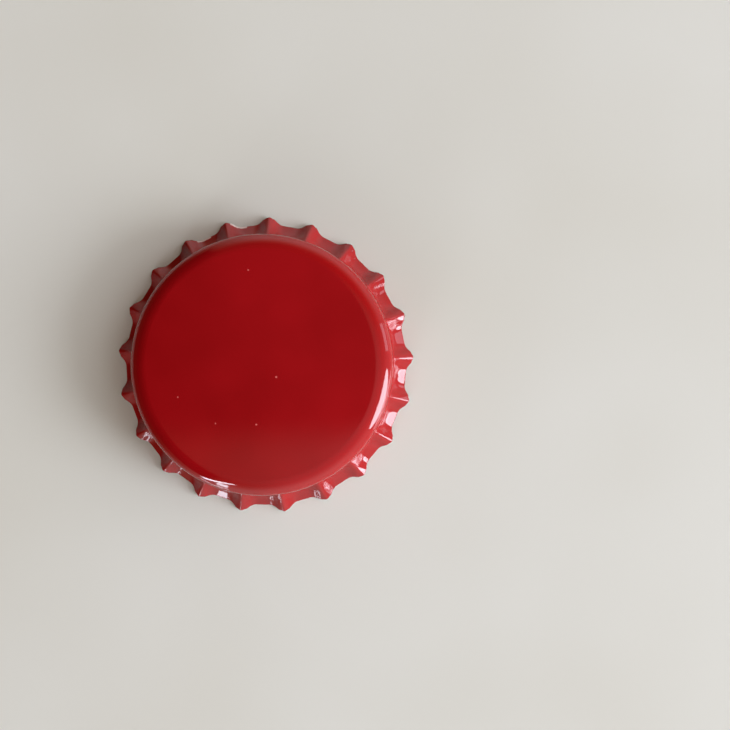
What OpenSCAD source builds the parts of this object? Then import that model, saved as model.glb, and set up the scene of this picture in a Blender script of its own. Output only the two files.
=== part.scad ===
// Crown cork: a pressed and fluted sheet cap with a sealing liner moulded into it.
// Origin at the centre of the mouth, on the plane that the skirt stands on. +Z runs up the axis.
// One tooth of the skirt points along +X.

/* [Shell] */
// Overall height, from the skirt's edge to the top of the panel
cap_h = 6.0; // [5.8:0.05:6.4]
// Radius inside the straight wall under the shoulder
bore_r = 13.45; // [13.3:0.025:13.5]
// Thickness of the sheet
sheet_t = 0.24; // [0.2:0.01:0.26]
// Outer radius of the rolled shoulder between panel and wall
shoulder_r = 1.7; // [1.5:0.05:1.9]
// Radius of the panel's slight dome
dome_r = 200; // [120:10:400]

/* [Skirt] */
// Number of teeth around the skirt
teeth = 21; // [20:1:22]
// Radius to the tips of the teeth
tip_r = 16.05; // [15.9:0.05:16.2]
// Outer radius of the skirt's edge in the valleys between the teeth
valley_r = 15.27; // [15.15:0.01:15.35]
// Length of straight wall under the shoulder, before the wall begins to lean out
straight_wall = 0.6; // [0.5:0.01:0.7]
// How far the wall has leaned out where the valleys leave it
wall_lean = 0.185; // [0.15:0.005:0.25]
// Height at which the valleys leave the wall
valley_bend_z = 1.4; // [1.3:0.05:1.5]
// Height at which the ridges leave the wall
ridge_bend_z = 2.4; // [2.3:0.05:2.5]
// Half of the flat floor of a valley
floor_half = 0.65; // [0.5:0.05:0.8]
// Radius that blends a valley's floor into the flanks of the teeth
fillet_r = 1.35; // [1.2:0.05:1.5]
// Slope of a tooth's flank against the valley's floor
flank_angle = 42; // [38:1:48]
// Height over a valley's floor at which a flank eases into the tooth's crest
crest_h = 0.5; // [0.45:0.01:0.6]
// Slope of the crest's sides against the valley's floor
crest_angle = 26; // [20:1:32]

/* [Liner] */
// Thickness of the clear web over the middle of the panel
web_t = 0.15; // [0.1:0.01:0.2]
// Radius where the web ends and the sealing ring begins
web_r = 9.5; // [9:0.1:10]
// Height of the sealing ring's face over the web
ring_h = 0.45; // [0.3:0.05:0.6]
// Extra height of the outer bead
bead_h = 0.45; // [0.3:0.05:0.5]
// Extra height of the small inner bead
lip_h = 0.12; // [0.05:0.01:0.2]

/* [Hidden] */
$fn = 84;

lacquer_red = [0.66, 0.05, 0.06];
liner_grey = [0.62, 0.66, 0.68];

// Top of the shell: the shoulder's arc is tangent to the dome and to the wall.
wall_r = bore_r + sheet_t;
shoulder_x = wall_r - shoulder_r;
dome_z = cap_h - dome_r;
shoulder_z = dome_z + sqrt(pow(dome_r - shoulder_r, 2) - pow(shoulder_x, 2));
dome_angle = asin(shoulder_x / (dome_r - shoulder_r));
dome_steps = 3;
shoulder_steps = 8;

// Edge of the skirt: a narrow flat that it stands on, then a cut square to the sheet.
foot_w = 0.15;
edge_slope = 0.45;
foot_r = valley_r - foot_w;
valley_z = (valley_r - foot_r) * edge_slope;
tip_z = (tip_r - foot_r) * edge_slope;

// Wall: straight under the shoulder, then a steep cone down to where the valleys leave it.
lean_top_z = shoulder_z - straight_wall;
valley_bend_r = wall_r + wall_lean;
lean_angle = atan(wall_lean / (lean_top_z - valley_bend_z));
wall_overlap = 0.4;
below = -1;

// Ridges: a flared cone from the wall to the tips, whose upper end stays inside the wall.
ridge_tilt = atan((tip_r - lean_r(ridge_bend_z, 0)) / (ridge_bend_z - tip_z));
bell_top_z = ridge_bend_z + 0.25;

// Flutes: their floors run from the wall to the skirt's edge.
pitch = 360 / teeth;
valley_tilt = atan((valley_r - valley_bend_r) / (valley_bend_z - valley_z));
flute_reach = 3;
flute_below = 2.5;
flute_len = flute_below + 6;
fillet_steps = 3;

// Liner: the ring runs from the web's edge to the wall, with a bead at each side.
web_steps = 2;
lip_r = web_r + 0.65;
lip_w = 0.4;
lip_steps = 4;
bead_r = 12.55;
bead_w = 0.75;
bead_steps = 4;
ring_outer = wall_r;
web_edge_w = 0.2;

// Direction from a flute's face into the sheet, where the face slopes at an angle.
function into_sheet(angle) = [-cos(angle), sin(angle)];

// Radius of the leaning wall at a height, on a face that lies inset into the sheet.
function lean_r(z, inset) =
    valley_bend_r - (z - valley_bend_z) * tan(lean_angle) - inset / cos(lean_angle);

// The same for the cone through the ridges.
function ridge_r(z, inset) = tip_r - (z - tip_z) * tan(ridge_tilt) - inset / cos(ridge_tilt);

// One rounded bump of the liner's face: full height at its middle, none at its edges.
function bump(r, mid, half) = abs(r - mid) >= half ? 0 : (1 + cos(180 * (r - mid) / half)) / 2;

// Radii of the points across a bump.
function bump_radii(mid, half, steps) = [for (i = [0:steps]) mid + half * (2 * i / steps - 1)];

// Depth of the liner below the inside of the panel, at a radius on the ring.
function ring_depth(r) =
    web_t + ring_h + lip_h * bump(r, lip_r, lip_w) + bead_h * bump(r, bead_r, bead_w);

// Points on the panel's arc and on the shoulder's, at an angle from the axis.
function dome_point(angle, inset) =
    [(dome_r - inset) * sin(angle), dome_z + (dome_r - inset) * cos(angle)];
function shoulder_point(angle, inset) =
    [shoulder_x + (shoulder_r - inset) * sin(angle), shoulder_z + (shoulder_r - inset) * cos(angle)];

// Height of the panel's inner face at a radius.
function panel_z(r) = dome_z + sqrt(pow(dome_r - sheet_t, 2) - r * r);

// Panel, shoulder and wall as a half section, moved in by inset and ended at low_z.
module top_section(inset, low_z) {
    panel = [for (i = [0:dome_steps]) dome_point(dome_angle * i / dome_steps, inset)];
    turn = 90 - dome_angle;
    roll = [for (i = [1:shoulder_steps]) shoulder_point(dome_angle + turn * i / shoulder_steps, inset)];
    bend_z = lean_top_z - inset * tan(lean_angle / 2);
    wall = low_z > bend_z
        ? [[wall_r - inset, low_z]]
        : [[wall_r - inset, bend_z], [lean_r(low_z, inset), low_z]];
    polygon(concat(panel, roll, wall, [[0, low_z]]));
}

// Section across a flute: flat floor, two fillets, straight flanks and the sides of the crests.
// X runs outward. inset grows the flute into the sheet.
module flute_section(inset) {
    blend = fillet_r + inset;
    side = [for (i = [0:fillet_steps]) let (a = flank_angle * i / fillet_steps)
        [fillet_r - blend * cos(a), floor_half + blend * sin(a)]];
    flank_top = [crest_h, floor_half + fillet_r * sin(flank_angle)
        + (crest_h - fillet_r * (1 - cos(flank_angle))) / tan(flank_angle)];
    mitre = (into_sheet(flank_angle) + into_sheet(crest_angle)) / (1 + cos(flank_angle - crest_angle));
    crest = flank_top + inset * mitre;
    out = crest + flute_reach * [sin(crest_angle), cos(crest_angle)];
    half = concat(side, [crest, out]);
    last = len(half) - 1;
    polygon(concat(half, [for (i = [last:-1:0]) [half[i][0], -half[i][1]]]));
}

// What the flutes press out of the skirt: one straight flute per valley. inset moves them inwards.
module flutes(inset) {
    for (i = [0:teeth - 1])
        rotate([0, 0, (i + 0.5) * pitch])
            translate([valley_r, 0, valley_z])
                rotate([0, -valley_tilt, 0])
                    translate([0, 0, -flute_below])
                        linear_extrude(height = flute_len) flute_section(inset);
}

// Flared skirt as a solid bell with the flutes pressed into it.
module skirt_outside() {
    difference() {
        rotate_extrude()
            polygon([
                [0, 0], [foot_r, 0], [tip_r, tip_z], [ridge_r(bell_top_z, 0), bell_top_z], [0, bell_top_z]
            ]);
        flutes(0);
    }
}

// Room inside the skirt: the same form, one sheet thickness further in.
module skirt_inside() {
    difference() {
        rotate_extrude()
            polygon([
                [0, below], [ridge_r(below, sheet_t), below],
                [ridge_r(bell_top_z, sheet_t), bell_top_z], [0, bell_top_z]
            ]);
        flutes(sheet_t);
    }
}

module crown_shell() {
    color(lacquer_red)
        difference() {
            union() {
                rotate_extrude() top_section(0, valley_bend_z - wall_overlap);
                skirt_outside();
            }
            rotate_extrude() top_section(sheet_t, below);
            skirt_inside();
        }
}

// Half section of the room under the liner: the web's shallow dome, then the ring's beaded face.
module room_under_liner() {
    web = [for (i = [0:web_steps]) (web_r - web_edge_w) * i / web_steps];
    ring = concat([web_r], bump_radii(lip_r, lip_w, lip_steps), bump_radii(bead_r, bead_w, bead_steps),
        [ring_outer]);
    polygon(concat(
        [for (r = web) [r, panel_z(r) - web_t]],
        [for (r = ring) [r, panel_z(r) - ring_depth(r)]],
        [[ring_outer, 0], [0, 0]]
    ));
}

module sealing_liner() {
    color(liner_grey)
        rotate_extrude()
            difference() {
                top_section(sheet_t, lean_top_z);
                room_under_liner();
            }
}

crown_shell();
sealing_liner();
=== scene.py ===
# Crown cork: a lacquered tinplate cap with its moulded liner, standing on a pale table
import bmesh
import bpy
from math import acos, asin, atan, cos, degrees, hypot, pi, radians, sin, sqrt, tan
from mathutils import Matrix, Vector


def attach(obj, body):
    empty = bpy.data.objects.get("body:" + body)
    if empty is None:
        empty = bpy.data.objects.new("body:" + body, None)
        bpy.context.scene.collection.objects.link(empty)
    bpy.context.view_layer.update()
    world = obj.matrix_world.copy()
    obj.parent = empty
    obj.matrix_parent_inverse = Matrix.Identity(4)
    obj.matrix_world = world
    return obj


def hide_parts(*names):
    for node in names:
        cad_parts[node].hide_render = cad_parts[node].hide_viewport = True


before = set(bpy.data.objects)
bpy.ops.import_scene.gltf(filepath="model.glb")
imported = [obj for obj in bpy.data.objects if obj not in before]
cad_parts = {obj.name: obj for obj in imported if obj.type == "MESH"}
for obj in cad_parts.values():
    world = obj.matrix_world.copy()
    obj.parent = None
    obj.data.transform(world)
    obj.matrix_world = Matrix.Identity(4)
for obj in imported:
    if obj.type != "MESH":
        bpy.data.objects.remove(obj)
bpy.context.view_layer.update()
mm = 0.001
print("frame loaded")


# Small helpers: colours, nodes, meshes

def linear(hexColour):
    # sRGB hex to the linear colour that the shaders want
    channels = [int(hexColour[i:i + 2], 16) / 255 for i in (1, 3, 5)]
    return [c / 12.92 if c <= 0.04045 else ((c + 0.055) / 1.055) ** 2.4 for c in channels] + [1.0]


def addNode(tree, kind, settings=None, inputs=None, stops=()):
    # settings are the node's own fields, inputs are values or sockets to link,
    # and stops are pairs of a position and a hex colour
    node = tree.nodes.new(kind)
    for key, value in (settings or {}).items():
        setattr(node, key, value)
    for key, value in (inputs or {}).items():
        if isinstance(value, bpy.types.NodeSocket):
            tree.links.new(value, node.inputs[key])
        else:
            node.inputs[key].default_value = value
    for i, (position, colour) in enumerate(stops):
        if i >= len(node.color_ramp.elements):
            node.color_ramp.elements.new(position)
        node.color_ramp.elements[i].position = position
        node.color_ramp.elements[i].color = linear(colour)
    return node


def newMaterial(name):
    material = bpy.data.materials.new(name)
    material.use_nodes = True
    material.node_tree.nodes.clear()
    return material, material.node_tree


def closeFinish(tree, relief, height, inputs):
    # relief, shader and output, the same for all of the cap's finishes
    bump = addNode(tree, "ShaderNodeBump", None,
                   {"Height": height, "Strength": relief[0], "Distance": relief[1] * mm}).outputs["Normal"]
    shader = addNode(tree, "ShaderNodeBsdfPrincipled", None, {**inputs, "Normal": bump})
    addNode(tree, "ShaderNodeOutputMaterial", None, {"Surface": shader.outputs[0]})


def newPiece(name, bm, materials):
    mesh = bpy.data.meshes.new(name)
    bm.to_mesh(mesh)
    bm.free()
    piece = bpy.data.objects.new(name, mesh)
    bpy.context.collection.objects.link(piece)
    for material in materials:
        mesh.materials.append(material)
    return piece


def applyModifiers(piece, sharpAngle):
    # swaps the mesh for the finished one, so that nothing is left live
    graph = bpy.context.evaluated_depsgraph_get()
    mesh = bpy.data.meshes.new_from_object(piece.evaluated_get(graph))
    mesh.name = piece.name
    piece.modifiers.clear()
    piece.data = mesh
    mesh.shade_smooth()
    mesh.set_sharp_from_angle(angle=radians(sharpAngle))


def spinVert(bm, vert, centre, angle, steps):
    # swings one vertex round a line along Y and leaves a chain of edges behind it
    made = bmesh.ops.spin(bm, geom=[vert], cent=centre, axis=(0, 1, 0), angle=angle, steps=steps,
                          use_merge=False, use_duplicate=False)
    return [g for g in made["geom_last"] if isinstance(g, bmesh.types.BMVert)][0]


def pullVert(bm, vert, place):
    # draws an edge from a vertex to a new place
    new = bmesh.ops.extrude_vert_indiv(bm, verts=[vert])["verts"][0]
    new.co = Vector(place)
    return new


def turnRound(bm, steps):
    # spins the whole section once round Z and closes the seam and the pole
    bmesh.ops.spin(bm, geom=bm.verts[:] + bm.edges[:], cent=(0, 0, 0), axis=(0, 0, 1), angle=2 * pi,
                   steps=steps, use_merge=True, use_duplicate=False)
    bmesh.ops.remove_doubles(bm, verts=bm.verts, dist=0.002 * mm)
    bmesh.ops.recalc_face_normals(bm, faces=bm.faces)


def smoothMin(a, b, blend):
    # the lower of two values, eased over the blend where they cross
    share = min(max(0.5 + 0.5 * (b - a) / blend, 0), 1)
    return b * (1 - share) + a * share - blend * share * (1 - share)


def smoothMax(a, b, blend):
    # the higher of two values, eased in the same way
    return -smoothMin(-a, -b, blend)


# Camera: straight down, from about a hand's breadth

cameraSet = {
    "height": 100,          # mm over the table
    "place": (10.76, -0.58),
    "turn": -3.0,           # degrees, one tooth points a little up from the right
    "lens": 45.2,           # mm, and so is the sensor's width
    "sensor": 36,
}


def makeCamera():
    data = bpy.data.cameras.new("camera")
    data.lens = cameraSet["lens"]
    data.sensor_width = cameraSet["sensor"]
    data.clip_start = 1 * mm
    data.clip_end = 20
    camera = bpy.data.objects.new("camera", data)
    x, y = cameraSet["place"]
    camera.location = (x * mm, y * mm, cameraSet["height"] * mm)
    camera.rotation_euler = (0, 0, radians(cameraSet["turn"]))
    bpy.context.collection.objects.link(camera)
    bpy.context.scene.camera = camera


makeCamera()
print("camera placed")


# The form that shell and liner share, in mm

form = {
    "height": 6.0,
    "boreR": 13.45,
    "sheet": 0.24,
    "rollR": 2.46,          # rolled shoulder: a slow arc off the panel, then a tighter turn to the wall
    "turnR": 1.22,
    "turnAngle": radians(40),
    "domeR": 200,
}
form["wallR"] = form["boreR"] + form["sheet"]
form["turnX"] = form["wallR"] - form["turnR"]
form["rollX"] = form["turnX"] - (form["rollR"] - form["turnR"]) * sin(form["turnAngle"])
form["domeZ"] = form["height"] - form["domeR"]
form["rollZ"] = form["domeZ"] + sqrt((form["domeR"] - form["rollR"]) ** 2 - form["rollX"] ** 2)
form["turnZ"] = form["rollZ"] + (form["rollR"] - form["turnR"]) * cos(form["turnAngle"])
form["domeAngle"] = asin(form["rollX"] / (form["domeR"] - form["rollR"]))


# Shell: panel, rolled shoulder and fluted skirt

shellSet = {
    "teeth": 21,
    "tipR": 16.05,
    "valleyR": 15.27,
    "leanTopZ": 3.34,       # the wall is straight above, and leans out below
    "leanBlend": 0.1,
    "wallLean": 0.185,      # how far it has leaned out where the valleys leave it
    "valleyBendZ": 1.2,
    "ridgeBendZ": 2.2,
    "bendBlend": 0.25,      # eases where valleys and ridges leave the wall
    "valleySag": 0.09,      # hollow of the flare between wall and edge
    "ridgeSag": 0.12,
    "sagBlend": 0.3,        # eases the hollow out on the flanks near the edge
    "floorHalf": 0.65,
    "floorTopHalf": 0.15,   # the flat floor narrows to this where a flute runs out
    "filletR": 1.35,
    "flankAngle": 38,
    "crestH": 0.5,          # the flanks turn into the crests' sides at this height over the floor
    "flankBlend": 0.08,
    "crestAngle": 26,
    "crestRoof": 0.85,      # fall of a crest to both sides, and the rounding of its middle line
    "crestRound": 0.15,
    "crestHalf": 0.5,       # how far to the sides the fall goes on, and how softly it ends
    "roofBlend": 0.1,
    "crestBlend": 0.035,    # rounding where a crest meets the flutes beside it
    "footR": 15.12,         # the skirt stands on a flat up to here, and is cut to a cone beyond
    "edgeSlope": 0.45,
    "edgeRound": 0.03,
    "stepsPerTooth": 32,
    "crowding": -0.6,       # draws the mesh towards the crests
    "panelRows": 9,
    "rollRows": 12,
    "turnRows": 9,
    "skirtRows": 34,
    "rowSpread": 0.8,       # draws the skirt's rows towards the edge
    "sharpAngle": 50,
    "bareGlintTeeth": ((98.0, 1.9, 0.16), (113.6, 1.7, 0.15)),   # azimuth, length and width of worn cut edges, whose bare metal's bright reflection is painted in as a pale colour
}


def fluteHeight(side, along):
    # height over a valley's floor, across the flute: along is 0 at its upper end and 1 at the edge
    s = shellSet
    side = abs(side)
    floorHalf = s["floorTopHalf"] + (s["floorHalf"] - s["floorTopHalf"]) * along
    fullFlank = radians(s["flankAngle"])
    filletR = s["filletR"] + (s["floorHalf"] - floorHalf) * sin(fullFlank) / (1 - cos(fullFlank))
    flank = min(fullFlank, acos(1 - s["crestH"] / filletR))
    if side <= floorHalf:
        return 0
    if side <= floorHalf + filletR * sin(flank):
        return filletR - sqrt(filletR ** 2 - (side - floorHalf) ** 2)
    blendTop = filletR * (1 - cos(flank))
    flankRise = blendTop + (side - floorHalf - filletR * sin(flank)) * tan(flank)
    crestSide = floorHalf + filletR * sin(flank) + (s["crestH"] - blendTop) / tan(flank)
    crestRise = s["crestH"] + (side - crestSide) * tan(radians(s["crestAngle"]))
    return smoothMin(flankRise, crestRise, s["flankBlend"])


def hollow(sag, z, topZ, lowZ):
    # how far the flare sags inwards at a height between its two ends
    along = min(max((topZ - z) / (topZ - lowZ), 0), 1)
    return 4 * sag * along * (1 - along)


def valleyRadius(fromValley, z):
    # radius of a flute's surface, whose floor runs from the wall to the edge
    s = shellSet
    lowZ = (s["valleyR"] - s["footR"]) * s["edgeSlope"]
    bendR = form["wallR"] + s["wallLean"]
    lean = atan((s["valleyR"] - bendR) / (s["valleyBendZ"] - lowZ))
    along = min(max((s["valleyBendZ"] - z) / (s["valleyBendZ"] - lowZ), 0), 1)
    radius = 15.0           # a first guess that the loop refines
    for i in range(5):
        height = fluteHeight(radius * sin(fromValley), along)
        # the flanks bend with the floor below them
        floorZ = smoothMax(z - height * sin(lean), lowZ, s["sagBlend"])
        height -= hollow(s["valleySag"], floorZ, s["valleyBendZ"], lowZ)
        radius = (s["valleyR"] + (height - (z - lowZ) * sin(lean)) / cos(lean)) / cos(fromValley)
    return radius


def skirtRadius(turn, z):
    # outer radius of the skirt at an angle and a height: a leaning wall, then the fluted flare
    s = shellSet
    wallR = form["wallR"]
    leanRate = s["wallLean"] / (s["leanTopZ"] - s["valleyBendZ"])
    leaning = wallR + s["wallLean"] - (z - s["valleyBendZ"]) * leanRate
    wall = smoothMax(wallR, leaning, s["leanBlend"])
    tipZ = (s["tipR"] - s["footR"]) * s["edgeSlope"]
    topR = wallR + s["wallLean"] - (s["ridgeBendZ"] - s["valleyBendZ"]) * leanRate
    slope = (s["tipR"] - topR) / (s["ridgeBendZ"] - tipZ)
    ridge = s["tipR"] - (z - tipZ) * slope - hollow(s["ridgeSag"], z, s["ridgeBendZ"], tipZ)
    pitch = 2 * pi / s["teeth"]
    fromValley = (turn / pitch) % 1 * pitch - pitch / 2
    aside = smoothMin(ridge * sin(pitch / 2 - abs(fromValley)), s["crestHalf"], s["roofBlend"])
    ridge -= s["crestRoof"] * (hypot(aside, s["crestRound"]) - s["crestRound"])
    flare = smoothMin(ridge, valleyRadius(fromValley, z), s["crestBlend"])
    return smoothMax(wall, flare, s["bendBlend"])


def edgeHeight(turn):
    # where the outer face meets the cone of the cut
    s = shellSet
    low, high = 0.0, 1.0
    for i in range(14):
        z = (low + high) / 2
        if z < (skirtRadius(turn, z) - s["footR"]) * s["edgeSlope"]:
            low = z
        else:
            high = z
    return z


def makeShell(materials):
    # a plain round cap is spun up first: dome, roll, turn and a straight wall
    s = shellSet
    bm = bmesh.new()
    bareAndGlint = bm.verts.layers.float.new("bareEdgeAndGlint")
    vert = bm.verts.new((0, 0, form["height"] * mm))
    vert = spinVert(bm, vert, (0, 0, form["domeZ"] * mm), form["domeAngle"], s["panelRows"])
    centre = (form["rollX"] * mm, 0, form["rollZ"] * mm)
    vert = spinVert(bm, vert, centre, form["turnAngle"] - form["domeAngle"], s["rollRows"])
    centre = (form["turnX"] * mm, 0, form["turnZ"] * mm)
    vert = spinVert(bm, vert, centre, pi / 2 - form["turnAngle"], s["turnRows"])
    foot = pullVert(bm, vert, (form["wallR"] * mm, 0, 0))
    bmesh.ops.subdivide_edges(bm, edges=foot.link_edges[:], cuts=s["skirtRows"] - 1)
    turnRound(bm, s["teeth"] * s["stepsPerTooth"])

    # then its wall is drawn out into the fluted skirt
    cutHeights = {}
    for vert in bm.verts:
        reach = hypot(vert.co.x, vert.co.y) / mm
        if reach < 0.01:
            continue
        turn = Vector((vert.co.x, vert.co.y)).angle_signed(Vector((1, 0)))
        turn += s["crowding"] * sin(s["teeth"] * turn) / s["teeth"]
        z = vert.co.z / mm
        if z < form["turnZ"] - 0.001:
            down = 1 - z / form["turnZ"]
            column = round(turn, 5)
            if column not in cutHeights:
                cutHeights[column] = edgeHeight(turn)
            edgeZ = cutHeights[column]
            z = form["turnZ"] + (edgeZ - form["turnZ"]) * down ** s["rowSpread"]
            reach = skirtRadius(turn, z)
            # bare for half the width over the cut, then fading out: real wear with a painted highlight of
            # the bare metal
            for azimuth, length, width in s["bareGlintTeeth"]:
                along = abs((degrees(turn) - azimuth + 180) % 360 - 180) * radians(reach)
                if along < length / 2:
                    vert[bareAndGlint] = max(vert[bareAndGlint], min(1, max(0, 1.5 - (z - edgeZ) / width)))
        vert.co = Vector((reach * cos(turn), reach * sin(turn), z)) * mm

    shell = newPiece("crownShell", bm, materials)
    solidify = shell.modifiers.new("sheet", "SOLIDIFY")
    solidify.thickness = form["sheet"] * mm
    solidify.offset = -1
    solidify.use_even_offset = True
    solidify.material_offset = 1
    solidify.material_offset_rim = 2
    applyModifiers(shell, s["sharpAngle"])

    # cut the skirt to its cone and the flat that it stands on, then ease the cut's two corners
    bm = bmesh.new()
    bm.from_mesh(shell.data)
    for vert in bm.verts:
        reach = hypot(vert.co.x, vert.co.y) / mm
        vert.co.z = max(vert.co.z, max((reach - s["footR"]) * s["edgeSlope"], 0) * mm)
    corners = [edge for edge in bm.edges
               if len({face.material_index for face in edge.link_faces}) > 1]
    bmesh.ops.bevel(bm, geom=corners, offset=s["edgeRound"] * mm, offset_type="OFFSET", segments=2,
                    profile=0.5, affect="EDGES", material=-1, clamp_overlap=True)
    bm.to_mesh(shell.data)
    bm.free()
    shell.data.shade_smooth()
    shell.data.set_sharp_from_angle(angle=radians(s["sharpAngle"]))
    return shell


# Liner: a clear web over the panel and a beaded ring round it

linerSet = {
    "web": 0.15,            # thickness, outer radius and width of the step up to the ring
    "webR": 9.5,
    "webEdge": 0.2,
    "ring": 0.45,
    "bumps": ((10.15, 0.4, 0.12), (12.55, 0.75, 0.45)),     # radius, half width and height: lip and bead
    "rows": 90,
    "turnRows": 4,
    "rollRows": 10,
    "panelRows": 8,
    "steps": 160,
    "sharpAngle": 60,
}


def linerDepth(reach):
    # how far the liner's face lies below the inside of the panel
    s = linerSet
    share = min(max((reach - s["webR"] + s["webEdge"]) / s["webEdge"], 0), 1)
    depth = s["web"] + s["ring"] * share * share * (3 - 2 * share)
    for middle, half, height in s["bumps"]:
        if abs(reach - middle) < half:
            depth += height * (1 + cos(pi * (reach - middle) / half)) / 2
    return depth


def linerFace(reach):
    # height of the liner's lower face
    return form["domeZ"] + sqrt((form["domeR"] - form["sheet"]) ** 2 - reach ** 2) - linerDepth(reach)


def makeLiner(material):
    s = linerSet
    # the ring's face ends where it meets the inside of the shoulder
    innerTurn = form["turnR"] - form["sheet"]
    low, high = form["turnX"] + 0.2, form["boreR"]
    for i in range(40):
        edgeR = (low + high) / 2
        turnZ = form["turnZ"] + sqrt(max(innerTurn ** 2 - (edgeR - form["turnX"]) ** 2, 0))
        if turnZ > linerFace(edgeR):
            low = edgeR
        else:
            high = edgeR
    edgeAngle = asin((edgeR - form["turnX"]) / innerTurn)

    bm = bmesh.new()
    pole = bm.verts.new((0, 0, linerFace(0) * mm))
    rim = pullVert(bm, pole, (edgeR * mm, 0, linerFace(edgeR) * mm))
    bmesh.ops.subdivide_edges(bm, edges=rim.link_edges[:], cuts=s["rows"] - 1)
    for vert in bm.verts:
        vert.co.z = linerFace(vert.co.x / mm) * mm
    # back along the inside of the shoulder and the panel
    rim = max(bm.verts, key=lambda vert: vert.co.x)
    centre = (form["turnX"] * mm, 0, form["turnZ"] * mm)
    inside = spinVert(bm, rim, centre, form["turnAngle"] - edgeAngle, s["turnRows"])
    centre = (form["rollX"] * mm, 0, form["rollZ"] * mm)
    inside = spinVert(bm, inside, centre, form["domeAngle"] - form["turnAngle"], s["rollRows"])
    spinVert(bm, inside, (0, 0, form["domeZ"] * mm), -form["domeAngle"], s["panelRows"])
    turnRound(bm, s["steps"])
    liner = newPiece("sealingLiner", bm, [material])
    applyModifiers(liner, s["sharpAngle"])
    return liner


# Finishes: sizes are in mm, a relief is its strength and its depth in mm

lacquerSet = {
    "colours": ((0.35, "#900a0e"), (0.65, "#9b0d12")),      # thick and thin coat
    "drift": 9.0,           # slow drift of the coat's thickness
    "peel": 1.6,            # flow of the stoved coat
    "roughness": 0.045,
    "relief": (0.3, 0.004),
    "nibs": ((-0.72, 9.8, 0.12), (1.6, -1.34, 0.15), (-8.63, -2.88, 0.11), (-4.9, -5.77, 0.1),
             (-0.7, -6.1, 0.13), (5.29, 11.35, 0.12)),      # x, y and radius of dust under the coat
    "nib": "#d86a64",
    "nibCore": 0.3,         # share of a nib's radius that shows its full colour
    "nibLift": 3.0,         # against the height of the coat's flow
    # worn cut edge, painted pale for the bright reflection of its bare metal: a painted highlight over real
    # wear
    "bareAndGlint": "#e3cfc8",
    "bareRoughness": 0.45,
    "ragged": 0.25,         # grain of the worn edge, and the wear at which it begins and is full
    "wear": (1.15, 1.3),
}


def makeLacquer():
    # gloss polyester lacquer, rolled on the sheet and stoved: deep even red under a wet-looking skin
    s = lacquerSet
    material, tree = newMaterial("redStovedLacquer")
    place = addNode(tree, "ShaderNodeTexCoord").outputs["Object"]
    drift = addNode(tree, "ShaderNodeTexNoise", None,
                    {"Vector": place, "Scale": 1 / (s["drift"] * mm), "Detail": 2.0})
    colour = addNode(tree, "ShaderNodeValToRGB", None, {"Fac": drift.outputs["Fac"]},
                     s["colours"]).outputs["Color"]
    peel = addNode(tree, "ShaderNodeTexNoise", None,
                   {"Vector": place, "Scale": 1 / (s["peel"] * mm), "Detail": 1.0})

    nibs = None
    for x, y, radius in s["nibs"]:
        point = (x * mm, y * mm, (form["domeZ"] + sqrt(form["domeR"] ** 2 - x * x - y * y)) * mm)
        gap = addNode(tree, "ShaderNodeVectorMath", {"operation": "DISTANCE"}, {0: place, 1: point})
        spot = addNode(tree, "ShaderNodeMapRange", {"interpolation_type": "SMOOTHSTEP"},
                       {"Value": gap.outputs["Value"], "From Min": s["nibCore"] * radius * mm,
                        "From Max": radius * mm, "To Min": 1.0, "To Max": 0.0}).outputs["Result"]
        if nibs is not None:
            spot = addNode(tree, "ShaderNodeMath", {"operation": "MAXIMUM"}, {0: nibs, 1: spot}).outputs[0]
        nibs = spot
    colour = addNode(tree, "ShaderNodeMix", {"data_type": "RGBA"},
                     {"Factor": nibs, 6: colour, 7: linear(s["nib"])}).outputs[2]

    # the worn strip takes the pale painted highlight of bare metal as its colour, and a rougher finish
    bareAndGlint = addNode(tree, "ShaderNodeAttribute", {"attribute_name": "bareEdgeAndGlint"}).outputs["Fac"]
    ragged = addNode(tree, "ShaderNodeTexNoise", None,
                     {"Vector": place, "Scale": 1 / (s["ragged"] * mm), "Detail": 3.0})
    wornAndGlint = addNode(tree, "ShaderNodeMath", {"operation": "ADD"},
                   {0: bareAndGlint, 1: ragged.outputs["Fac"]}).outputs[0]
    wornAndGlint = addNode(tree, "ShaderNodeMapRange", None,
                   {"Value": wornAndGlint, "From Min": s["wear"][0], "From Max": s["wear"][1]}).outputs["Result"]
    colour = addNode(tree, "ShaderNodeMix", {"data_type": "RGBA"},
                     {"Factor": wornAndGlint, 6: colour, 7: linear(s["bareAndGlint"])}).outputs[2]
    rough = addNode(tree, "ShaderNodeMapRange", None,
                    {"Value": wornAndGlint, "To Min": s["roughness"],
                     "To Max": s["bareRoughness"]}).outputs["Result"]

    height = addNode(tree, "ShaderNodeMath", {"operation": "MULTIPLY_ADD"},
                     {0: nibs, 1: s["nibLift"], 2: peel.outputs["Fac"]}).outputs[0]
    closeFinish(tree, s["relief"], height, {"Base Color": colour, "Roughness": rough, "IOR": 1.5})
    return material


tinplateSet = {
    "colours": ((0.3, "#b4b1ab"), (0.7, "#cbc8c1")),
    # length, width and depth of the rolling lines, coarser than real ones, which are too fine to show
    "grain": (6, 0.12, 0.12),
    "roughness": (0.18, 0.34),
    "relief": (0.25, 0.004),
}


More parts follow.
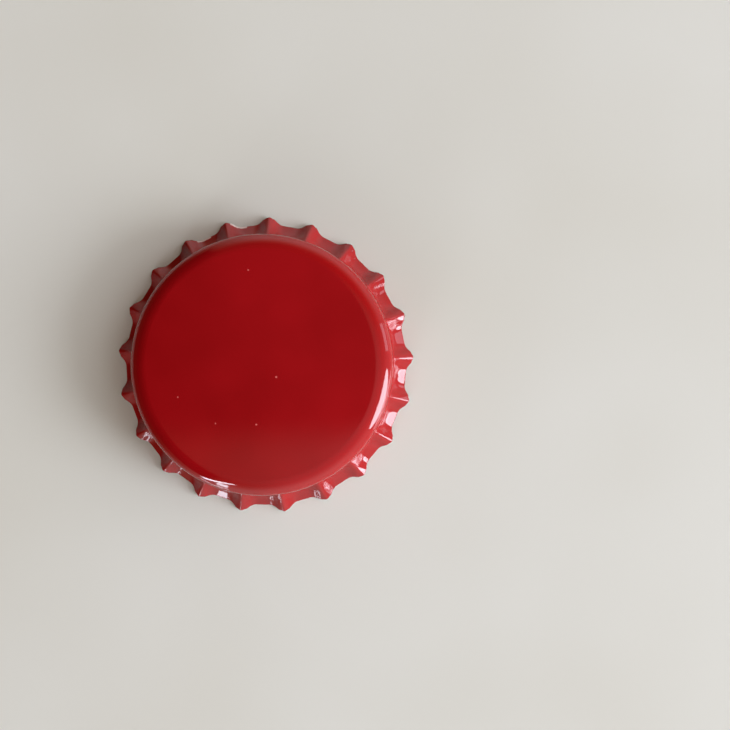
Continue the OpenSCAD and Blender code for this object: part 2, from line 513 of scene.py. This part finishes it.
def makeTinplate():
    # bright electrolytic tinplate, cold rolled: a clean grey sheen drawn out along the rolling
    s = tinplateSet
    material, tree = newMaterial("brightTinplate")
    place = addNode(tree, "ShaderNodeTexCoord").outputs["Object"]
    grain = addNode(tree, "ShaderNodeMapping", None,
                    {"Vector": place, "Scale": [1 / (size * mm) for size in s["grain"]]})
    lines = addNode(tree, "ShaderNodeTexNoise", None,
                    {"Vector": grain.outputs["Vector"], "Scale": 1.0, "Detail": 3.0}).outputs["Fac"]
    colour = addNode(tree, "ShaderNodeValToRGB", None, {"Fac": lines}, s["colours"]).outputs["Color"]
    rough = addNode(tree, "ShaderNodeMapRange", None,
                    {"Value": lines, "To Min": s["roughness"][0],
                     "To Max": s["roughness"][1]}).outputs["Result"]
    closeFinish(tree, s["relief"], lines, {"Base Color": colour, "Metallic": 1.0, "Roughness": rough})
    return material


cutEdgeSet = {
    "colours": ((0.3, "#a89a93"), (0.7, "#d2c6bf")),
    "tear": 0.2,            # coarser than real, which is too fine to show
    "roughness": (0.3, 0.5),
    "relief": (0.5, 0.01),
}


def makeCutEdge():
    # sheared steel edge: bare, finely torn by the punch, with a breath of the lacquer's warmth
    s = cutEdgeSet
    material, tree = newMaterial("shearedSteelEdge")
    place = addNode(tree, "ShaderNodeTexCoord").outputs["Object"]
    tear = addNode(tree, "ShaderNodeTexNoise", None,
                   {"Vector": place, "Scale": 1 / (s["tear"] * mm), "Detail": 4.0}).outputs["Fac"]
    colour = addNode(tree, "ShaderNodeValToRGB", None, {"Fac": tear}, s["colours"]).outputs["Color"]
    rough = addNode(tree, "ShaderNodeMapRange", None,
                    {"Value": tear, "To Min": s["roughness"][0],
                     "To Max": s["roughness"][1]}).outputs["Result"]
    closeFinish(tree, s["relief"], tear, {"Base Color": colour, "Metallic": 1.0, "Roughness": rough})
    return material


compoundSet = {
    # from the web, where the cream base lacquer shows through, over the ring to its outer edge
    "colours": ((0.06, "#bcb8a6"), (0.12, "#a3a9aa"), (0.3, "#a9b0b2"), (0.55, "#98a0a3"),
                (0.85, "#a8afb1")),
    "span": (9.0, 13.4),
    # distance between the mould's turning marks, as coarse as they need to show, and their height
    # against the clouding's
    "rings": 0.35,
    "ringLift": 0.3,
    "cloud": 2.5,
    "clouding": 0.3,
    "milk": "#c3c6c2",
    "roughness": (0.28, 0.42),
    "relief": (0.4, 0.01),
    "scatter": (0.15, 0.6),         # share and reach
}


def makeCompound():
    # soft polyolefin compound, moulded in place: milky grey, faint rings from the mould,
    # and thin over the panel
    s = compoundSet
    material, tree = newMaterial("mouldedLinerCompound")
    place = addNode(tree, "ShaderNodeTexCoord").outputs["Object"]
    flat = addNode(tree, "ShaderNodeVectorMath", {"operation": "MULTIPLY"}, {0: place, 1: (1, 1, 0)})
    reach = addNode(tree, "ShaderNodeVectorMath", {"operation": "LENGTH"},
                    {0: flat.outputs[0]}).outputs["Value"]
    across = addNode(tree, "ShaderNodeMapRange", None,
                     {"Value": reach, "From Min": s["span"][0] * mm,
                      "From Max": s["span"][1] * mm}).outputs["Result"]
    colour = addNode(tree, "ShaderNodeValToRGB", None, {"Fac": across}, s["colours"]).outputs["Color"]
    waves = addNode(tree, "ShaderNodeMath", {"operation": "MULTIPLY"},
                    {0: reach, 1: 2 * pi / (s["rings"] * mm)}).outputs[0]
    rings = addNode(tree, "ShaderNodeMath", {"operation": "SINE"}, {0: waves}).outputs[0]
    cloud = addNode(tree, "ShaderNodeTexNoise", None,
                    {"Vector": place, "Scale": 1 / (s["cloud"] * mm), "Detail": 3.0}).outputs["Fac"]
    clouded = addNode(tree, "ShaderNodeMapRange", None,
                      {"Value": cloud, "To Min": 0.0, "To Max": s["clouding"]}).outputs["Result"]
    colour = addNode(tree, "ShaderNodeMix", {"data_type": "RGBA"},
                     {"Factor": clouded, 6: colour, 7: linear(s["milk"])}).outputs[2]
    rough = addNode(tree, "ShaderNodeMapRange", None,
                    {"Value": cloud, "To Min": s["roughness"][0],
                     "To Max": s["roughness"][1]}).outputs["Result"]
    height = addNode(tree, "ShaderNodeMath", {"operation": "MULTIPLY_ADD"},
                     {0: rings, 1: s["ringLift"], 2: cloud}).outputs[0]
    closeFinish(tree, s["relief"], height,
                {"Base Color": colour, "Roughness": rough, "IOR": 1.49,
                 "Subsurface Weight": s["scatter"][0], "Subsurface Scale": s["scatter"][1] * mm})
    return material


lacquer = makeLacquer()
tinplate = makeTinplate()
cutEdge = makeCutEdge()
compound = makeCompound()
print("finishes made")

shell = makeShell([lacquer, tinplate, cutEdge])
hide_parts("crown_shell")
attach(shell, "root")
print("shell made:", len(shell.data.polygons), "faces")

liner = makeLiner(compound)
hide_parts("sealing_liner")
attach(liner, "root")
print("liner made:", len(liner.data.polygons), "faces")


# Table, lamps, dark cards and the room's light

stageSet = {
    "tableColours": ((0.35, "#d3d1c5"), (0.6, "#d9d8ce")),
    "tableCloud": 45,       # mm
    "tableRoughness": (0.1, 0.6),           # in what the cap mirrors, and to the camera
    "tableSize": 3.0,       # m
    # room light: a warm ceiling and dark far side, pale walls round one azimuth, and a glow high over them.
    # wallSpan, backlit and highSpan are cosines from a direction, wallTop is sines over the table
    "world": {"warm": "#ffbf85", "ceiling": 0.085, "dark": 0.06, "wall": "#fff9f4", "wallLevel": 1.0,
              "wallAzimuth": -8, "wallSpan": (-0.85, -0.2), "wallTop": (0.15, 0.75),
              "backlit": (0.6, 0.95), "backlitLevel": 0.6,
              "high": (-45, 50), "highSpan": (0.5, 0.97), "highLevel": 0.42},
    "lamp": "#ebf2ff",
    # lamps: the top and the bottom end as azimuth and angle over the table, width in degrees, brightness
    "window": ((-18, 34), (-18, 4), 32, 15.0),
    "bar": ((-20, 8), (-20, 1.5), 20, 5.0),
    "sill": ((14, 24), (14, 6), 14, 2.6),
    "room": ((8, 58), (8, 0.3), 70, 2.2),
    "strip": ((-110, 34), (-123, 8), 3.0, 24.0),
    "gap": ((-113.8, 19), (-113.8, 4), 5, 14.0),
    "lampReach": 700,       # mm
    # dark cards: middle, half width, half height, lean in degrees, soft share of the half size, and glow
    "cardOver": ((-40, 45, 300), 115, 130, 0, 0.3, 0.06),
    "cardLeft": ((-400, 0, 560), 800, 450, 90, 0.2, 0.0),
}


def makeTable():
    # pale laminate: slow cloudy warmth, and a sheen for what stands on it
    s = stageSet
    bm = bmesh.new()
    bmesh.ops.create_grid(bm, x_segments=8, y_segments=8, size=s["tableSize"] / 2)
    material, tree = newMaterial("paleLaminate")
    place = addNode(tree, "ShaderNodeTexCoord").outputs["Object"]
    cloud = addNode(tree, "ShaderNodeTexNoise", None,
                    {"Vector": place, "Scale": 1 / (s["tableCloud"] * mm), "Detail": 2.0})
    colour = addNode(tree, "ShaderNodeValToRGB", None, {"Fac": cloud.outputs["Fac"]},
                     s["tableColours"]).outputs["Color"]
    path = addNode(tree, "ShaderNodeLightPath")
    rough = addNode(tree, "ShaderNodeMapRange", None,
                    {"Value": path.outputs["Is Camera Ray"], "To Min": s["tableRoughness"][0],
                     "To Max": s["tableRoughness"][1]}).outputs["Result"]
    shader = addNode(tree, "ShaderNodeBsdfPrincipled", None,
                     {"Base Color": colour, "Roughness": rough, "IOR": 1.5})
    addNode(tree, "ShaderNodeOutputMaterial", None, {"Surface": shader.outputs[0]})
    table = newPiece("table", bm, [material])


def towards(azimuth, rise):
    # point on the lamps' upright drum, by the angles under which the cap sees it
    turn = radians(azimuth + cameraSet["turn"])
    return Vector((cos(turn), sin(turn), tan(radians(rise)))) * stageSet["lampReach"] * mm


def makeLamp(name, top, bottom, span, brightness):
    # a panel of even light between two directions, facing the cap: the window is oval, and the
    # room lamp only fills, unseen in the gloss
    ends = towards(*top), towards(*bottom)
    data = bpy.data.lights.new(name, "AREA")
    data.shape = "ELLIPSE" if name == "window" else "RECTANGLE"
    data.size = 2 * stageSet["lampReach"] * mm * tan(radians(span / 2))
    data.size_y = (ends[0] - ends[1]).length
    data.color = linear(stageSet["lamp"])[:3]
    data.energy = brightness * pi * data.size * data.size_y * (pi / 4 if name == "window" else 1)
    lamp = bpy.data.objects.new(name, data)
    middle = (ends[0] + ends[1]) / 2
    along = (ends[0] - ends[1]).normalized()
    sideways = along.cross(middle).normalized()
    lamp.matrix_world = Matrix.Translation(middle) @ Matrix(
        (sideways, along, sideways.cross(along))).transposed().to_4x4()
    lamp.visible_camera = False
    lamp.visible_glossy = name != "room"
    bpy.context.collection.objects.link(lamp)


def makeCard(name, middle, halfWidth, halfHeight, lean, fade, glow):
    # soft-edged dark card, flat or upright, a little brighter towards its right: only gloss sees it
    turn = radians(cameraSet["turn"])
    stand = Matrix.Translation(Vector(middle) * mm) @ Matrix.Rotation(radians(lean), 4, "Y")
    bm = bmesh.new()
    soft = bm.verts.layers.float.new("soft")
    light = bm.verts.layers.float.new("light")
    bmesh.ops.create_grid(bm, x_segments=40, y_segments=40, size=1.0)
    for vert in bm.verts:
        vert[soft] = (1 - max(abs(vert.co.x), abs(vert.co.y))) / fade
        vert[light] = glow * (1 + vert.co.x) / 2
    bmesh.ops.scale(bm, vec=(halfHeight * mm, halfWidth * mm, 1), verts=bm.verts)
    bmesh.ops.transform(bm, matrix=Matrix.Rotation(turn, 4, "Z") @ stand, verts=bm.verts)
    material, tree = newMaterial(name)
    edge = addNode(tree, "ShaderNodeAttribute", {"attribute_name": "soft"}).outputs["Fac"]
    cover = addNode(tree, "ShaderNodeMapRange", {"interpolation_type": "SMOOTHSTEP"},
                    {"Value": edge}).outputs["Result"]
    level = addNode(tree, "ShaderNodeAttribute", {"attribute_name": "light"}).outputs["Fac"]
    dark = addNode(tree, "ShaderNodeEmission", None, {"Strength": level})
    clear = addNode(tree, "ShaderNodeBsdfTransparent")
    shader = addNode(tree, "ShaderNodeMixShader", None,
                     {0: cover, 1: clear.outputs[0], 2: dark.outputs[0]})
    addNode(tree, "ShaderNodeOutputMaterial", None, {"Surface": shader.outputs[0]})
    card = newPiece(name, bm, [material])
    card.visible_camera = False
    card.visible_diffuse = False
    card.visible_shadow = False
    card.visible_transmission = False


def makeWorld():
    # light from all round by direction: walls as a band with a dark far side, ceiling, and high glow
    world = bpy.data.worlds.new("room")
    world.use_nodes = True
    tree = world.node_tree
    tree.nodes.clear()
    s = stageSet["world"]
    ahead = towards(s["wallAzimuth"], 0).normalized()
    place = addNode(tree, "ShaderNodeTexCoord").outputs["Generated"]
    facing = addNode(tree, "ShaderNodeVectorMath", {"operation": "DOT_PRODUCT"}, {0: place, 1: ahead})
    side = addNode(tree, "ShaderNodeMapRange", {"interpolation_type": "SMOOTHSTEP"},
                   {"Value": facing.outputs["Value"], "From Min": s["wallSpan"][0],
                    "From Max": s["wallSpan"][1]}).outputs["Result"]
    rise = addNode(tree, "ShaderNodeSeparateXYZ", None, {0: place}).outputs["Z"]
    band = addNode(tree, "ShaderNodeMapRange", {"interpolation_type": "SMOOTHSTEP"},
                   {"Value": rise, "From Min": s["wallTop"][0], "From Max": s["wallTop"][1],
                    "To Min": 1.0, "To Max": 0.0}).outputs["Result"]
    backlit = addNode(tree, "ShaderNodeMapRange", {"interpolation_type": "SMOOTHSTEP"},
                      {"Value": facing.outputs["Value"], "From Min": s["backlit"][0],
                       "From Max": s["backlit"][1], "To Min": 1.0,
                       "To Max": s["backlitLevel"]}).outputs["Result"]
    wall = addNode(tree, "ShaderNodeMath", {"operation": "MULTIPLY"}, {0: side, 1: backlit}).outputs[0]
    wall = addNode(tree, "ShaderNodeMath", {"operation": "MULTIPLY_ADD"},
                   {0: wall, 1: s["wallLevel"], 2: s["dark"]}).outputs[0]
    strength = addNode(tree, "ShaderNodeMix", {"data_type": "FLOAT"},
                       {0: band, 2: s["ceiling"], 3: wall}).outputs[0]
    overhead = addNode(tree, "ShaderNodeVectorMath", {"operation": "DOT_PRODUCT"},
                       {0: place, 1: towards(*s["high"]).normalized()}).outputs["Value"]
    high = addNode(tree, "ShaderNodeMapRange", {"interpolation_type": "SMOOTHSTEP"},
                   {"Value": overhead, "From Min": s["highSpan"][0],
                    "From Max": s["highSpan"][1]}).outputs["Result"]
    strength = addNode(tree, "ShaderNodeMath", {"operation": "MULTIPLY_ADD"},
                       {0: high, 1: s["highLevel"], 2: strength}).outputs[0]
    pale = addNode(tree, "ShaderNodeMath", {"operation": "MULTIPLY_ADD", "use_clamp": True},
                   {0: side, 1: band, 2: high}).outputs[0]
    colour = addNode(tree, "ShaderNodeMix", {"data_type": "RGBA"},
                     {"Factor": pale, 6: linear(s["warm"]), 7: linear(s["wall"])}).outputs[2]
    glow = addNode(tree, "ShaderNodeBackground", None, {"Color": colour, "Strength": strength})
    addNode(tree, "ShaderNodeOutputWorld", None, {"Surface": glow.outputs[0]})
    bpy.context.scene.world = world


makeTable()
for name in ("window", "bar", "sill", "room", "strip", "gap"):
    makeLamp(name, *stageSet[name])
makeCard("cardOver", *stageSet["cardOver"])
makeCard("cardLeft", *stageSet["cardLeft"])
makeWorld()
bpy.context.scene.view_settings.view_transform = "Standard"
print("stage lit")
